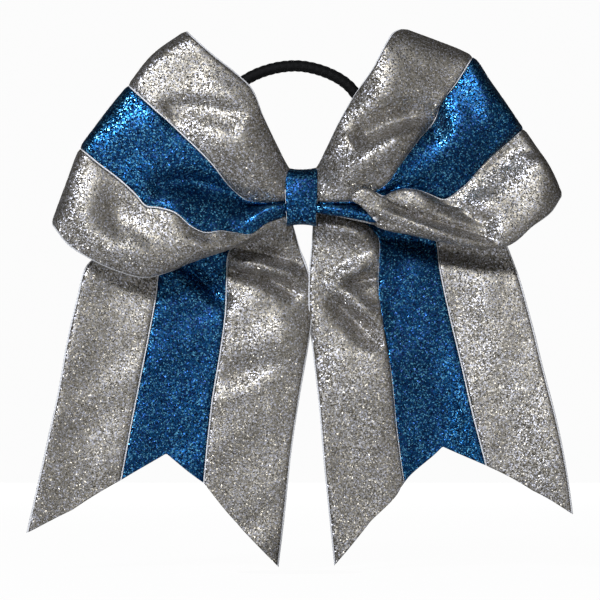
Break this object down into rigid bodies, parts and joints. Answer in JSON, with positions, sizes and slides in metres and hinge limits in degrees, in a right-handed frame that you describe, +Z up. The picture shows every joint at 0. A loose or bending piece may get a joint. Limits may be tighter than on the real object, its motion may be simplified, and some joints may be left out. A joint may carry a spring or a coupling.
{
  "type": "cheer hair bow",
  "caption": "Wide striped glitter ribbon tied as a flat bow, with swallow-tailed ends and a wrapped knot, carried on a round ponytail elastic.",
  "frame": {"origin": "centre of the flat back of the knot, midway across the wrap and midway up it", "axes": "+X to the viewer's right, -Y out of the bow's front, +Z up"},
  "size_m": [0.1721, 0.0276, 0.1702],
  "materials": {
    "silver_glitter": "coarse silver glitter on ribbon",
    "blue_glitter": "coarse blue glitter on ribbon",
    "white_ribbon": "ribbed white grosgrain",
    "elastic_black": "black braided elastic cord",
    "tie_plastic": "moulded nylon",
    "glue": "cloudy hot glue"
  },
  "bodies": {
    "knot": {"centre_wrap_glitter": "blue_glitter", "centre_wrap_ribbon": "white_ribbon", "gathered_core": "white_ribbon", "cable_tie": "tie_plastic", "glue_pad": "glue", "left_root_blue": "blue_glitter", "left_root_inner_silver": "silver_glitter", "left_root_outer_silver": "silver_glitter", "left_root_ribbon": "white_ribbon", "right_root_blue": "blue_glitter", "right_root_inner_silver": "silver_glitter", "right_root_outer_silver": "silver_glitter", "right_root_ribbon": "white_ribbon"},
    "left_loop": {"left_loop_blue": "blue_glitter", "left_loop_lower_silver": "silver_glitter", "left_loop_ribbon": "white_ribbon", "left_loop_upper_silver": "silver_glitter"},
    "right_loop": {"right_loop_blue": "blue_glitter", "right_loop_lower_silver": "silver_glitter", "right_loop_ribbon": "white_ribbon", "right_loop_upper_silver": "silver_glitter"},
    "left_tail": {"left_tail_blue": "blue_glitter", "left_tail_inner_silver": "silver_glitter", "left_tail_outer_silver": "silver_glitter", "left_tail_ribbon": "white_ribbon"},
    "right_tail": {"right_tail_blue": "blue_glitter", "right_tail_inner_silver": "silver_glitter", "right_tail_outer_silver": "silver_glitter", "right_tail_ribbon": "white_ribbon"},
    "elastic_near": {"elastic_knot_half": "elastic_black"},
    "elastic_far": {"elastic_open_half": "elastic_black"}
  },
  "joints": [
    {"name": "left_loop_fold", "type": "hinge", "parent": "knot", "child": "left_loop", "pos_m": [-0.005, -0.0137, 0], "axis": [0, 0, 1], "range_deg": [0, 30]},
    {"name": "right_loop_fold", "type": "hinge", "parent": "knot", "child": "right_loop", "pos_m": [0.005, -0.0137, 0], "axis": [0, 0, -1], "range_deg": [0, 30]},
    {"name": "left_tail_lift", "type": "hinge", "parent": "knot", "child": "left_tail", "pos_m": [0, -0.0018, -0.028], "axis": [-1, 0, 0], "range_deg": [-12, 75]},
    {"name": "right_tail_lift", "type": "hinge", "parent": "knot", "child": "right_tail", "pos_m": [0, -0.0018, -0.028], "axis": [-1, 0, 0], "range_deg": [-12, 75]},
    {"name": "elastic_swing", "type": "hinge", "parent": "knot", "child": "elastic_near", "pos_m": [0, -0.0034, 0.0024], "axis": [-1, 0, 0], "range_deg": [0, 155]},
    {"name": "elastic_stretch", "type": "slide", "parent": "elastic_near", "child": "elastic_far", "axis": [0, 0, 1], "range_m": [0, 0.05]}
  ]
}
